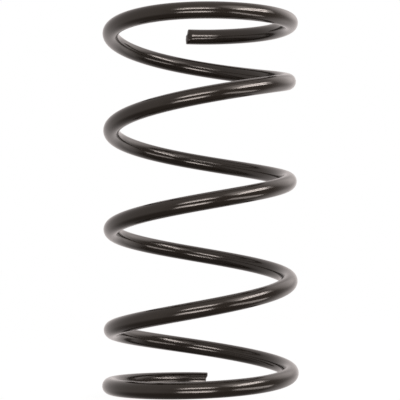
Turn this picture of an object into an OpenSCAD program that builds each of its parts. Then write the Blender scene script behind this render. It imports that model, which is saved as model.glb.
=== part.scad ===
// Suspension coil spring: one round steel bar, coiled hot to the right, with both ends sheared off.
// +Z runs up the coil's axis. The origin is on that axis, level with the underside of the bottom coil.

/* [Bar] */
// Diameter of the round bar, with its paint
bar_d = 13; // [10:0.1:16]

/* [Coil] */
// Diameter of the coil between its ends, measured at the middle of the bar
coil_d = 146.3; // [120:0.1:180]
// Height of the unloaded spring, over both end coils
free_height = 316.7; // [260:0.1:400]
// Turns of bar from one cut face to the other
turns = 5.032; // [4:0.002:6.5]
// Direction of the bottom cut face from the axis, in degrees from +X towards +Y
bottom_cut_angle = 86.9; // [0:0.1:359.9]

/* [Bottom end coil] */
// Turns of bar that lie on the lower seat
bottom_seat_turns = 0.42; // [0.3:0.01:0.8]
// Climb of the seated bar, for each turn
bottom_seat_climb = 14.1; // [0:0.1:18]
// Turns over which the bar leaves the seat and reaches its full pitch
bottom_blend_turns = 0.77; // [0.3:0.01:1]
// Spread of the coil's radius at the bottom cut face, eased away along the end coil
bottom_spread = 1.7; // [0:0.1:4]

/* [Top end coil] */
// Turns of bar that lie under the upper seat
top_seat_turns = 0.49; // [0.3:0.01:0.8]
// Climb of the seated bar, for each turn
top_seat_climb = 7.6; // [0:0.1:18]
// Turns over which the bar leaves the seat and reaches its full pitch
top_blend_turns = 0.48; // [0.3:0.01:1]
// Spread of the coil's radius at the top cut face, eased away along the end coil
top_spread = 2.6; // [0:0.1:4]

/* [Cut ends] */
// Lean of each cut face, in degrees from square, longer on the side that faces the other coils
cut_lean = 2; // [0:0.5:12]
// Step that the shear left across the bottom cut face, whose upper part stands out this far
bottom_cut_step = 1.2; // [0:0.1:2]
// Step that the shear left across the top cut face, whose upper part is set back this far
top_cut_step = 0.9; // [0:0.1:2]
// Radius of the paint round the edge of each cut face
cut_edge_r = 0.6; // [0.4:0.1:1.6]

/* [Faces] */
// Flat faces round the bar, a multiple of 4, so that one faces straight down and one straight out
bar_sides = 16; // [12:4:24]
// Rings of faces in each turn of the coil
rings_per_turn = 60; // [36:4:64]
// Steps in the rounded edge of each cut face
edge_steps = 3; // [2:1:4]

/* [Hidden] */
bar_r = bar_d / 2;
// Height that the middle of the bar gains from the bottom cut face to the top one
bar_climb = free_height - bar_d;
// The share of each end coil that climbs as the seat does: its seated turns and half of its blend
bottom_still_turns = bottom_seat_turns + bottom_blend_turns / 2;
top_still_turns = top_seat_turns + top_blend_turns / 2;
active_turns = turns - bottom_still_turns - top_still_turns;
// Height gained in one turn between the end coils
pitch = (bar_climb - bottom_seat_climb * bottom_still_turns - top_seat_climb * top_still_turns) / active_turns;
// Turns along which the spread of an end coil is eased away
spread_turns = 1;
// A corner of the bar's polygon lies this far out, so that its flats touch the round bar
corner_share = 1 / cos(180 / bar_sides);
// Heights above the middle of the bar between which the step crosses a cut face
cut_step_from = bar_r / 4;
cut_step_to = bar_r / 2;
// Plain bar between the uneven edge of a cut end and the first square ring
plain_stretch = bar_d / 8;

// Smooth step from 0 to 1, its slope, and its integral
function step(x) = x <= 0 ? 0 : x >= 1 ? 1 : 3 * x ^ 2 - 2 * x ^ 3;
function step_slope(x) = x <= 0 || x >= 1 ? 0 : 6 * x - 6 * x ^ 2;
function step_sum(x) = x <= 0 ? 0 : x >= 1 ? x - 1 / 2 : x ^ 3 - x ^ 4 / 2;

// Height gained over t turns from a cut face, and the climb per turn reached there
function end_rise(t, seat_turns, seat_climb, blend_turns) =
    seat_climb * t + (pitch - seat_climb) * blend_turns * step_sum((t - seat_turns) / blend_turns);
function end_climb(t, seat_turns, seat_climb, blend_turns) =
    seat_climb + (pitch - seat_climb) * step((t - seat_turns) / blend_turns);

// Height of the middle of the bar, t turns up from the bottom cut face, and its climb per turn
function bar_height(t) = t < turns / 2
    ? bar_r + end_rise(t, bottom_seat_turns, bottom_seat_climb, bottom_blend_turns)
    : bar_r + bar_climb - end_rise(turns - t, top_seat_turns, top_seat_climb, top_blend_turns);
function bar_slope(t) = t < turns / 2
    ? end_climb(t, bottom_seat_turns, bottom_seat_climb, bottom_blend_turns)
    : end_climb(turns - t, top_seat_turns, top_seat_climb, top_blend_turns);

// Radius of the coil there, and its growth per turn
function coil_radius(t) = coil_d / 2
    + bottom_spread * (1 - step(t / spread_turns))
    + top_spread * (1 - step((turns - t) / spread_turns));
function coil_growth(t) = (top_spread * step_slope((turns - t) / spread_turns)
    - bottom_spread * step_slope(t / spread_turns)) / spread_turns;

// A vector made one millimetre long
function unit(v) = v / norm(v);

// One ring of points round the bar, square to it, t turns up. On a cut face each point moves back
// along the bar, by lean for each millimetre that it lies above the bar's middle and by the step.
function bar_ring(t, radius, lean = 0, step_depth = 0) = let (
    angle = bottom_cut_angle + 360 * t,
    outward = [cos(angle), sin(angle), 0],
    onward = [-sin(angle), cos(angle), 0],
    middle = coil_radius(t) * outward + [0, 0, bar_height(t)],
    along = unit(2 * PI * coil_radius(t) * onward + coil_growth(t) * outward + [0, 0, bar_slope(t)]),
    sideways = unit(outward - (outward * along) * along),
    upward = cross(sideways, along)
) [
    for (i = [0 : bar_sides - 1])
        let (
            side_angle = (i + 1 / 2) * 360 / bar_sides,
            out = radius * corner_share * cos(side_angle),
            up = radius * corner_share * sin(side_angle),
            back = lean * up + step_depth * step((up - cut_step_from) / (cut_step_to - cut_step_from))
        )
        middle + out * sideways + up * upward - back * along
];

// Turns that a length of bar takes up
function turns_of(length) = length / (PI * coil_d);

// Rings of a cut end, from the rim of its face, round the paint's edge, to the full bar
function edge_rings(at_top) = [
    for (i = [0 : edge_steps])
        let (
            edge_angle = 90 * i / edge_steps,
            inset = turns_of(cut_edge_r * (1 - cos(edge_angle))),
            radius = bar_r - cut_edge_r * (1 - sin(edge_angle)),
            step_depth = at_top ? top_cut_step : bottom_cut_step
        )
        bar_ring(at_top ? turns - inset : inset, radius, tan(cut_lean), step_depth)
];

// A list in its opposite order
function reversed(list) = [for (i = [len(list) - 1 : -1 : 0]) list[i]];

// The square rings of the bar, which start and stop clear of the uneven edges
deepest_cut = bar_r * tan(cut_lean) + max(bottom_cut_step, top_cut_step);
plain_end = turns_of(cut_edge_r + deepest_cut + plain_stretch);
body_turns = turns - 2 * plain_end;
body_steps = ceil(body_turns * rings_per_turn);
body_rings = [for (i = [0 : body_steps]) bar_ring(plain_end + body_turns * i / body_steps, bar_r)];

// Strips across a ring of points, from its highest pair down to its lowest. Each pair lies level
// across the bar, so that every strip is flat, on a stepped face too.
function strips_across(sides) = [
    for (row = [0 : sides / 2 - 2])
        let (right = (sides * 5 / 4 - 1 - row) % sides, left = sides / 4 + row)
        [right, left, left + 1, (right + sides - 1) % sides]
];

// A closed skin over rings of equal point count, with strips across the first and the last
module skin(rings) {
    sides = len(rings[0]);
    last = (len(rings) - 1) * sides;
    first_face = [for (strip = strips_across(sides)) reversed(strip)];
    last_face = [for (strip = strips_across(sides)) [for (i = strip) last + i]];
    side_faces = [
        for (j = [0 : sides : last - sides], i = [0 : sides - 1], half = [0, 1])
            let (k = (i + 1) % sides)
            half == 0 ? [j + i, j + k, j + sides + k] : [j + i, j + sides + k, j + sides + i]
    ];
    polyhedron(
        points = [for (ring = rings, point = ring) point],
        faces = concat(first_face, side_faces, last_face)
    );
}

module coil_spring() {
    color("#1d1b1a")
        skin(concat(edge_rings(false), body_rings, reversed(edge_rings(true))));
}

coil_spring();
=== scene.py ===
from math import cos, pi, radians, sin, tan

import bpy
import numpy as np
from mathutils import Matrix, Vector


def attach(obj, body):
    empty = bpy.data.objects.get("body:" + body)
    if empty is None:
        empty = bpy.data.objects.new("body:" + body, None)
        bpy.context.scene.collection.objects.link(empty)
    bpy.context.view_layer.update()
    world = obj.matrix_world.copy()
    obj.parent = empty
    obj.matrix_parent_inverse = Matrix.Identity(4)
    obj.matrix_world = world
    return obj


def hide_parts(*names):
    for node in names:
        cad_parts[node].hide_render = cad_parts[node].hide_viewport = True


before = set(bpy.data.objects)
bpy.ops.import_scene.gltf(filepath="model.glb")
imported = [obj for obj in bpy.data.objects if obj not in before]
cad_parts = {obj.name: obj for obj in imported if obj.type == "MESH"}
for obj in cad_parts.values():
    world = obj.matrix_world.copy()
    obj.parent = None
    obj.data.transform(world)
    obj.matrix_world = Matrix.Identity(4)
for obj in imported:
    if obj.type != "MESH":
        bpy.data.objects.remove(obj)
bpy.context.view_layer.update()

# The spring

# One round steel bar, sheared to length, coiled hot to the right and painted gloss black, cut faces included.
# Its two end coils lie flatter, where they sit on the seats, and a smooth change of pitch joins them to the
# open turns between. It is a single piece, fixed to nothing, and stands on its bottom coil.
MM = 0.001
# The solid's bar is 13 mm across its flats and 13.25 mm across its corners. The one shown is a little
# thicker, since white light behind a dark edge eats into it. Its coil is a little narrower for that, so that
# it stays inside the solid's box.
bar_radius = 6.66 * MM
seat_to_middle = 6.67 * MM
coil_radius = 145.95 / 2 * MM
free_height = 316.7 * MM
turns = 5.032
bottom_cut_angle = radians(86.9)
# Each end coil: turns that are seated, their climb for each turn, the turns over which the pitch then opens,
# and the spread of the coil's radius at the cut face.
seated = {
    "bottom": dict(turns=0.42, climb=14.1 * MM, blend=0.77, spread=1.7 * MM),
    "top": dict(turns=0.49, climb=7.6 * MM, blend=0.48, spread=2.6 * MM),
}
# Turns up from the bottom cut, and how many millimetres the coiled bar strays up from its law there.
wander_knots = (
    (0, 0.25), (0.1, 0), (0.5, 0), (0.85, -0.08), (1.05, 0.12), (1.2, 0.05), (1.36, -0.2), (1.5, -0.02),
    (2.15, 0), (2.27, 0.15), (2.38, 0.13), (2.7, -0.18), (2.88, -0.5), (3.18, -0.56), (3.4, -0.02),
    (3.64, 0.68), (3.75, 0.05), (3.86, 0.5), (4, 0.68), (4.18, 0.05), (4.42, 0.19), (4.66, -0.25),
    (4.75, 0.05), (4.87, -0.18), (4.96, 0),
)
bar_climb = free_height - 2 * seat_to_middle
still_turns = {end: seat["turns"] + seat["blend"] / 2 for end, seat in seated.items()}
seated_climb = sum(seat["climb"] * still_turns[end] for end, seat in seated.items())
pitch = (bar_climb - seated_climb) / (turns - sum(still_turns.values()))


def ease(x):
    """Smooth step: 3 x squared less 2 x cubed, held at 0 before 0 and at 1 after 1."""
    x = np.clip(x, 0, 1)
    return x * x * (3 - 2 * x)


def ease_slope(x):
    """Slope of the smooth step: 6 x less 6 x squared, and 0 outside 0 to 1."""
    x = np.clip(x, 0, 1)
    return 6 * x * (1 - x)


def ease_sum(x):
    """Integral of the smooth step: x cubed less half of x to the fourth, then x less a half."""
    inside = np.clip(x, 0, 1)
    return inside**3 - inside**4 / 2 + np.maximum(x - 1, 0)


def rise(t, end):
    """Height gained over t turns from a cut face: the seat's climb, plus what the blend adds to it."""
    seat = seated[end]
    opened = (t - seat["turns"]) / seat["blend"]
    return seat["climb"] * t + (pitch - seat["climb"]) * seat["blend"] * ease_sum(opened)


def climb(t, end):
    """Climb per turn, t turns from a cut face: the seat's, eased to the full pitch over the blend."""
    seat = seated[end]
    return seat["climb"] + (pitch - seat["climb"]) * ease((t - seat["turns"]) / seat["blend"])


def wander(t):
    """How far the bar strays up from its law: a smooth step from each knot's height to the next one's."""
    knot_turns, knot_heights = np.array(wander_knots).T
    at = np.clip(np.searchsorted(knot_turns, t) - 1, 0, len(knot_turns) - 2)
    before, after = knot_turns[at], knot_turns[at + 1]
    low, high = knot_heights[at], knot_heights[at + 1]
    return MM * (low + (high - low) * ease((t - before) / (after - before)))


def bar_axes(t):
    """Middle of the bar t turns up, and unit vectors along it, out from the coil, and up square to both.

    The middle is at radius times the outward direction, at the height gained so far. The direction along
    is the circle's, tilted by the climb and the growth of the radius over one turn's length."""
    angle = bottom_cut_angle + 2 * pi * t
    zero = np.zeros_like(t)
    outward = np.stack([np.cos(angle), np.sin(angle), zero], -1)
    onward = np.stack([-np.sin(angle), np.cos(angle), zero], -1)
    from_top = turns - t
    low_half = t < turns / 2
    height = np.where(low_half, rise(t, "bottom"), bar_climb - rise(from_top, "top")) + seat_to_middle
    slope = np.where(low_half, climb(t, "bottom"), climb(from_top, "top"))
    spread = {end: seat["spread"] for end, seat in seated.items()}
    radius = coil_radius + spread["bottom"] * (1 - ease(t)) + spread["top"] * (1 - ease(from_top))
    growth = spread["top"] * ease_slope(from_top) - spread["bottom"] * ease_slope(t)
    middle = radius[:, None] * outward
    middle[:, 2] = height + wander(t)
    along = 2 * pi * radius[:, None] * onward + growth[:, None] * outward
    along[:, 2] = slope
    along /= np.linalg.norm(along, axis=1, keepdims=True)
    sideways = outward - np.sum(outward * along, 1, keepdims=True) * along
    sideways /= np.linalg.norm(sideways, axis=1, keepdims=True)
    return middle, along, sideways, np.cross(sideways, along)


# Radius of the paint round the rim of each cut face.
paint_edge = 0.6 * MM
# The shear leaned a little and left a step across each face, between these heights above the bar's middle.
cut_lean = tan(radians(2))
cut_steps = {"bottom": 1.2 * MM, "top": 0.9 * MM}
cut_step_from, cut_step_to = 1.3 * MM, 3.4 * MM
# Length of bar over which its skin takes up the shape of the cut.
cut_reach = 6 * MM
# Ripples that the blade left on the faces: their height, the lengths up and across the face in which a wave
# turns by one radian, and how many radians each line sways.
ripple_height, ripple_up, ripple_across, ripple_sway = 0.04 * MM, 0.62 * MM, 2.6 * MM, 1.7
# The dents that the shear pressed into the top end, on the side towards the coil's axis: how steeply each
# deepens towards the cut, how far from the cut it starts, the length that rounds its start, and its half
# width round the bar, in radians.
dents = ((0.11, 8.6 * MM, 2.5 * MM, 0.42), (0.38, 4.5 * MM, 0.8 * MM, 0.9))
points_round = 64


def end_profile(
    face_rings=9, face_power=0.8, edge_rings=6, near_rings=26, near_power=1.5, near_length=9 * MM
):
    """Rings of one cut end, from the middle of its face: distance along the bar, and radius.

    The face runs out to the rim, a quarter circle of paint turns the corner, and more rings lead into
    the plain bar. The powers crowd the rings on both sides of the corner towards it."""
    rim = bar_radius - paint_edge
    face = np.stack([np.zeros(face_rings), rim * np.linspace(0, 1, face_rings) ** face_power], 1)
    turn = np.linspace(0, pi / 2, edge_rings + 1)[1:]
    edge = np.stack([paint_edge * (1 - np.cos(turn)), rim + paint_edge * np.sin(turn)], 1)
    share = np.linspace(0, 1, near_rings + 1)[1:]
    reach = paint_edge + near_length * share**near_power
    near = np.stack([reach, np.full(near_rings, bar_radius)], 1)
    return np.concatenate([face, edge, near])


def bar_grid(body_rings=1130):
    """All rings from one face's middle to the other's: turn, radius, and distance from the nearer cut."""
    end = end_profile()
    turn_length = 2 * pi * coil_radius
    inner = end[-1, 0] / turn_length
    body = np.linspace(inner, turns - inner, body_rings)[1:-1]
    t = np.concatenate([end[:, 0] / turn_length, body, turns - end[::-1, 0] / turn_length])
    radius = np.concatenate([end[:, 1], np.full(len(body), bar_radius), end[::-1, 1]])
    depth = np.minimum(t, turns - t) * turn_length
    return t, radius, depth


def bar_surface():
    """Points of the bar on a grid of rings by points round, and how far each belongs to a cut face.

    Each point is the middle of the bar, plus radius times the cosine and sine of its angle round the bar
    along the sideways and upward directions. Near a cut it moves back along the bar, by the lean and the
    shear's step, both eased away over cut_reach, and on the face by the ripples, a sine of its height with
    a sine of its place across added to the angle. At the top end it also moves away from the coil's axis,
    by each dent's depth along the bar, an eased ramp, times a bell curve of the angle round it."""
    t, radius, depth = bar_grid()
    round_angle = np.linspace(0, 2 * pi, points_round, endpoint=False)
    across, above = radius[:, None] * np.cos(round_angle), radius[:, None] * np.sin(round_angle)
    for slope, start, rounding, half_width in dents:
        pressed = slope * rounding * ease_sum((start - depth) / rounding) * (t > turns / 2)
        bell = np.exp(-(((round_angle - pi) / half_width) ** 2))
        across += pressed[:, None] * bell * radius[:, None] / bar_radius
    step = np.where(t < turns / 2, cut_steps["bottom"], cut_steps["top"])
    step_share = ease((above - cut_step_from) / (cut_step_to - cut_step_from))
    fade = 1 - ease((depth - paint_edge) / cut_reach)
    on_face = ease((bar_radius - radius) / paint_edge)[:, None]
    ripples = ripple_height * np.sin(above / ripple_up + ripple_sway * np.sin(across / ripple_across))
    back = fade[:, None] * (cut_lean * above + step[:, None] * step_share) + on_face * ripples
    middle, along, sideways, upward = bar_axes(t)
    points = middle[:, None] + across[..., None] * sideways[:, None] + above[..., None] * upward[:, None]
    return points - back[..., None] * along[:, None], on_face * np.ones(points_round)


def closed_skin(rings, sides):
    """Faces over rings of points between a first and a last point, wound so that they face outwards.

    Each ring runs anticlockwise, as seen from the first point's side."""
    side = np.arange(sides)
    following = (side + 1) % sides
    last = 1 + rings * sides
    ring = 1 + sides * np.arange(rings - 1)[:, None]
    belt = np.stack([ring + sides + side, ring + sides + following, ring + following, ring + side], -1)
    first_fan = np.stack([0 * side, 1 + side, 1 + following], 1)
    last_fan = np.stack([0 * side + last, last - sides + following, last - sides + side], 1)
    return [*belt.reshape(-1, 4).tolist(), *first_fan.tolist(), *last_fan.tolist()]


def new_piece(name, points, faces):
    """A mesh object from points and lists of corners, smooth all over."""
    mesh = bpy.data.meshes.new(name)
    mesh.from_pydata(points, [], faces)
    mesh.polygons.foreach_set("use_smooth", np.ones(len(mesh.polygons), bool))
    mesh.validate()
    piece = bpy.data.objects.new(name, mesh)
    bpy.context.scene.collection.objects.link(piece)
    return piece


surface, on_face = bar_surface()
# The first and last ring have no radius: each is one point, the middle of its cut face.
points = np.concatenate([surface[:1, 0], surface[1:-1].reshape(-1, 3), surface[-1:, 0]])
spring = new_piece("spring", points, closed_skin(len(surface) - 2, points_round))
face_share = spring.data.attributes.new("cut_face", "FLOAT", "POINT")
face_share.data.foreach_set("value", np.concatenate([[1.0], on_face[1:-1].ravel(), [1.0]]).astype(np.float32))


class Wire:
    """One output of a shader node. Sums, differences and products with it add Math nodes."""

    def __init__(self, bench, socket):
        self.bench, self.socket = bench, socket

    def maths(self, operation, first, second):
        """A Math node on two wires, or on a wire and a number."""
        return self.bench.add("ShaderNodeMath", {"operation": operation}, {0: first, 1: second})

    def __add__(self, other):
        return self.maths("ADD", self, other)

    __radd__ = __add__

    def __sub__(self, other):
        return self.maths("SUBTRACT", self, other)

    def __rsub__(self, other):
        return self.maths("SUBTRACT", other, self)

    def __mul__(self, other):
        return self.maths("MULTIPLY", self, other)

    __rmul__ = __mul__


class Bench:
    """A cleared node tree on which a finish is put together."""

    def __init__(self, owner):
        owner.use_nodes = True
        self.tree = owner.node_tree
        self.tree.nodes.clear()

    def add(self, kind, settings, inputs, output=0):
        """A node of that kind: its settings first, then the values or links of its sockets."""
        node = self.tree.nodes.new(kind)
        for name, value in settings.items():
            setattr(node, name, value)
        for key, value in inputs.items():
            if isinstance(value, Wire):
                self.tree.links.new(value.socket, node.inputs[key])
            else:
                node.inputs[key].default_value = value
        return Wire(self, node.outputs[output]) if len(node.outputs) else None

    def eased(self, value, low, high, at_low=0.0, at_high=1.0):
        """The value taken from low..high to at_low..at_high along a smooth step."""
        return self.add(
            "ShaderNodeMapRange",
            {"interpolation_type": "SMOOTHSTEP"},
            {"Value": value, "From Min": low, "From Max": high, "To Min": at_low, "To Max": at_high},
        )

    def noise(self, where, scale, detail):
        """Noise from 0 to 1 with that many features to a metre, and finer ones added as detail."""
        return self.add(
            "ShaderNodeTexNoise",
            {"noise_dimensions": "3D"},
            {"Vector": where, "Scale": scale, "Detail": detail, "Roughness": 0.5},
        )

    def blend(self, share, first, second):
        """A colour between two others. Input 0 takes the share, and 6, 7 and output 2 are the colour ones."""
        return self.add("ShaderNodeMix", {"data_type": "RGBA"}, {0: share, 6: first, 7: second}, output=2)


# The paint is nearly black and warm, a little browner and duller in clouds. Its skin has the fine swell of
# sprayed paint and slow sags, and it lies thin and dull over the grain of the sheared faces.
black_paint, brown_black_paint = (0.0047, 0.0032, 0.0020, 1), (0.0071, 0.0052, 0.0036, 1)
paint_roughness, cloud_roughness, cut_roughness = 0.13, 0.05, 0.38
swell_share, sag_share, grain_share = 0.30, 1.0, 2.0
paint = bpy.data.materials.new("gloss_black_paint")
bench = Bench(paint)
where = bench.add("ShaderNodeTexCoord", {}, {}, output="Object")
cut = bench.add("ShaderNodeAttribute", {"attribute_name": "cut_face"}, {}, output="Fac")
cloud = bench.noise(where, scale=24.0, detail=3.0)
swell = bench.noise(where, scale=330.0, detail=1.0)
sag = bench.noise(where, scale=70.0, detail=1.0)
grain = bench.noise(where, scale=1500.0, detail=2.0)
colour = bench.blend(cloud, black_paint, brown_black_paint)
roughness = paint_roughness + cloud * cloud_roughness + cut * cut_roughness
height = swell * swell_share + sag * sag_share + cut * grain * grain_share
relief = bench.add("ShaderNodeBump", {}, {"Strength": 0.10, "Distance": 0.02 * MM, "Height": height})
shader = bench.add(
    "ShaderNodeBsdfPrincipled",
    {},
    {
        "Base Color": colour,
        "Roughness": roughness,
        "Normal": relief,
        "IOR": 1.5,
        "Specular Tint": (1.0, 0.97, 0.92, 1),
    },
)
bench.add("ShaderNodeOutputMaterial", {}, {"Surface": shader})
spring.data.materials.append(paint)
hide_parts("coil_spring")
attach(spring, "root")

# The floor

# A wide white sheet under the spring, so evenly lit that its edge hardly shows against the white behind it.
# The camera sees it, but the paint reflects the room below it instead, which is darker than the sheet.
floor_radius = 6.0
sheet_glow = 0.97


def round_sheet(radius, corners=96):
    """A flat polygon round the origin: radius times the cosine and sine of equal steps of angle."""
    angle = np.linspace(0, 2 * pi, corners, endpoint=False)
    rim = radius * np.stack([np.cos(angle), np.sin(angle), 0 * angle], -1)
    return rim, [list(range(corners))]


floor = new_piece("floor", *round_sheet(floor_radius))
sheet = bpy.data.materials.new("white_sheet")
bench = Bench(sheet)
glow = bench.add("ShaderNodeEmission", {}, {"Color": (1, 1, 1, 1), "Strength": sheet_glow})
matt = bench.add("ShaderNodeBsdfDiffuse", {}, {"Color": (*[1 - sheet_glow] * 3, 1)})
both = bench.add("ShaderNodeAddShader", {}, {0: glow, 1: matt})
bench.add("ShaderNodeOutputMaterial", {}, {"Surface": both})
floor.data.materials.append(sheet)
floor.visible_glossy = floor.visible_diffuse = floor.visible_shadow = False

# The studio

# A round white room with the spring in its middle. It holds four softboxes: two in front, above and below
# the camera's line, and two nearer ones to the right. The light is white, a little warmer than the plain
# white background, and only the camera sees that, because it looks through the room's wall.
middle_height = 0.16
room_radius = 1.25
patch_gap = 3 * MM
warm_white = (1.12, 1.03, 1.01)


def facing(right, up=0.0):
    """Unit vector from the middle of the room, in degrees to the right of the camera and up."""
    right, up = radians(right), radians(up)
    return Vector((sin(right) * cos(up), -cos(right) * cos(up), sin(up)))


def softbox(name, right, distance, patches):
    """Area lights on one upright plane, square to a direction round the spring, at a distance from its axis.

    The direction is in degrees to the right of the camera. Each patch gives its left and right edge
    along the plane, its lower and upper edge from the spring's middle, and its brightness, which times
    pi and its area is its power. Each hangs a patch_gap nearer to the spring than the one before it, so
    that their light adds up."""
    away, across = facing(right), facing(right + 90)
    for number, (left, right_edge, low, high, brightness) in enumerate(patches, 1):
        lamp = bpy.data.lights.new(f"{name}_{number}", "AREA")
        lamp.shape = "RECTANGLE"
        lamp.size, lamp.size_y = right_edge - left, high - low
        lamp.energy = pi * brightness * lamp.size * lamp.size_y
        lamp.color = warm_white
        box = bpy.data.objects.new(lamp.name, lamp)
        height = middle_height + (low + high) / 2
        near = distance - number * patch_gap
        box.location = away * near + across * (left + right_edge) / 2 + Vector((0, 0, height))
        box.rotation_euler = away.to_track_quat("Z", "Y").to_euler()
        box.visible_camera = False
        bpy.context.scene.collection.objects.link(box)


softbox("front_upper_softbox", right=0, distance=0.90, patches=[
    (-0.50, 0.32, 0.22, 0.64, 1.2),
    (-0.42, 0.24, 0.25, 0.37, 7.9),
    (-0.34, 0.16, 0.27, 0.36, 11.6),
    (-0.30, 0.10, 0.43, 0.55, 4.2),
])
softbox("front_lower_softbox", right=0, distance=0.90, patches=[
    (-0.42, 0.26, -0.54, -0.24, 5.2),
    (-0.32, 0.16, -0.36, -0.27, 8.8),
    (-0.16, 0.20, -0.49, -0.42, 13.2),
])
softbox("side_upper_softbox", right=85, distance=0.60, patches=[
    (-0.70, 0.04, 0.21, 0.47, 2.2),
    (-0.56, -0.06, 0.22, 0.28, 19.0),
    (-0.68, 0.03, 0.35, 0.46, 1.8),
    (-0.50, -0.04, 0.37, 0.44, 14.6),
])
softbox("side_lower_softbox", right=85, distance=0.60, patches=[
    (-0.66, 0.02, -0.46, -0.22, 1.8),
    (-0.60, 0.02, -0.35, -0.26, 3.2),
    (-0.66, -0.10, -0.46, -0.39, 2.4),
])


def ball(radius, height, rings=32, corners=64):
    """A closed ball, from its top down: radius times the unit vector of each latitude and longitude."""
    latitude = np.linspace(pi / 2, -pi / 2, rings + 1)[1:-1, None]
    longitude = np.linspace(0, 2 * pi, corners, endpoint=False)[None, :]
    level, lift = np.cos(latitude), np.sin(latitude)
    belt = np.stack([level * np.cos(longitude), level * np.sin(longitude), lift + 0 * longitude], -1)
    points = np.concatenate([[[0, 0, 1]], belt.reshape(-1, 3), [[0, 0, -1]]])
    return points * radius + [0, 0, height], closed_skin(rings - 1, corners)


# The wall glows by its direction from the middle of the room. Low and high are the upward parts of that
# direction between which it brightens, and the others are its brightness below and above them.
front_wall = dict(low=-0.68, high=-0.25, at_low=0.187, at_high=0.706)
back_wall = dict(low=-1.0, high=-0.765, at_low=0.48, at_high=0.915)
# The front wall turns into the back one between these backward parts of the direction. The second is past
# the 1 of straight back, so the change isn't quite complete there.
front_ends, back_begins = 0.0, 1.235
# A wide dim band lies between the softboxes. It deepens as a direction's cosine with its middle grows between
# the first two numbers, and ends above and below between the next two upward parts.
band_middle, band_near, band_steep, band_dimming = 41.2, (-0.136, 0.75), (0.25, 0.814), 0.63
# Soft spots of light on the wall, as a window and three lamps give: degrees to the right of the camera and
# up, half the spot's width in degrees, and brightness.
spots = (
    (132.2, 5.6, 42.95, 0.254),
    (49.4, 34.1, 25.31, 2.30),
    (125.4, 30.1, 29.19, 0.814),
    (122.3, -31.2, 27.5, 0.463),
)

room = new_piece("room", *ball(room_radius, middle_height))
wall_paint = bpy.data.materials.new("white_room")
bench = Bench(wall_paint)
place = bench.add("ShaderNodeTexCoord", {}, {}, output="Object")
middle = (0, 0, middle_height)
from_middle = bench.add("ShaderNodeVectorMath", {"operation": "SUBTRACT"}, {0: place, 1: middle})
outwards = bench.add("ShaderNodeVectorMath", {"operation": "NORMALIZE"}, {0: from_middle})


def towards(direction):
    """How nearly a place on the wall lies in a direction: the dot product of the two unit vectors."""
    pair = {0: outwards, 1: direction}
    return bench.add("ShaderNodeVectorMath", {"operation": "DOT_PRODUCT"}, pair, output="Value")


backward, upward = towards((0, 1, 0)), towards((0, 0, 1))
steepness = bench.add("ShaderNodeMath", {"operation": "ABSOLUTE"}, {0: upward})
in_front = bench.eased(upward, **front_wall)
behind = bench.eased(upward, **back_wall)
walls = in_front + (behind - in_front) * bench.eased(backward, front_ends, back_begins)
band = bench.eased(towards(facing(band_middle)), *band_near) * bench.eased(steepness, *band_steep, 1.0, 0.0)
lit = walls * (1.0 - band * band_dimming)
for right, up, half_width, brightness in spots:
    lit = lit + bench.eased(towards(facing(right, up)), cos(radians(half_width)), 1.0, 0.0, brightness)
glow = bench.add("ShaderNodeEmission", {}, {"Color": (*warm_white, 1), "Strength": lit})
bench.add("ShaderNodeOutputMaterial", {}, {"Surface": glow})
wall_paint.cycles.emission_sampling = "NONE"
room.data.materials.append(wall_paint)
room.visible_camera = False

backdrop = bpy.data.worlds.new("white_background")
bpy.context.scene.world = backdrop
bench = Bench(backdrop)
white = bench.add("ShaderNodeBackground", {}, {"Color": (1, 1, 1, 1), "Strength": 1.0})
bench.add("ShaderNodeOutputWorld", {}, {"Surface": white})

# The camera

# It stands a metre in front of the spring, a little below its middle, and looks very slightly up.
# Its place, tilt, roll and lens come from fitting the coil's outline.
camera_place = (0, -1.0682, 0.12032)
camera_tilt = radians(2.243)
camera_roll = -0.005641
view = bpy.data.cameras.new("camera")
view.sensor_width = 36
view.lens = 116.60
view.shift_x = -0.0004
view.clip_start, view.clip_end = 0.05, 50
camera = bpy.data.objects.new("camera", view)
camera.matrix_world = (
    Matrix.Translation(camera_place)
    @ Matrix.Rotation(pi / 2 + camera_tilt, 4, "X")
    @ Matrix.Rotation(camera_roll, 4, "Z")
)
bpy.context.scene.collection.objects.link(camera)
bpy.context.scene.camera = camera
bpy.context.scene.view_settings.view_transform = "Standard"
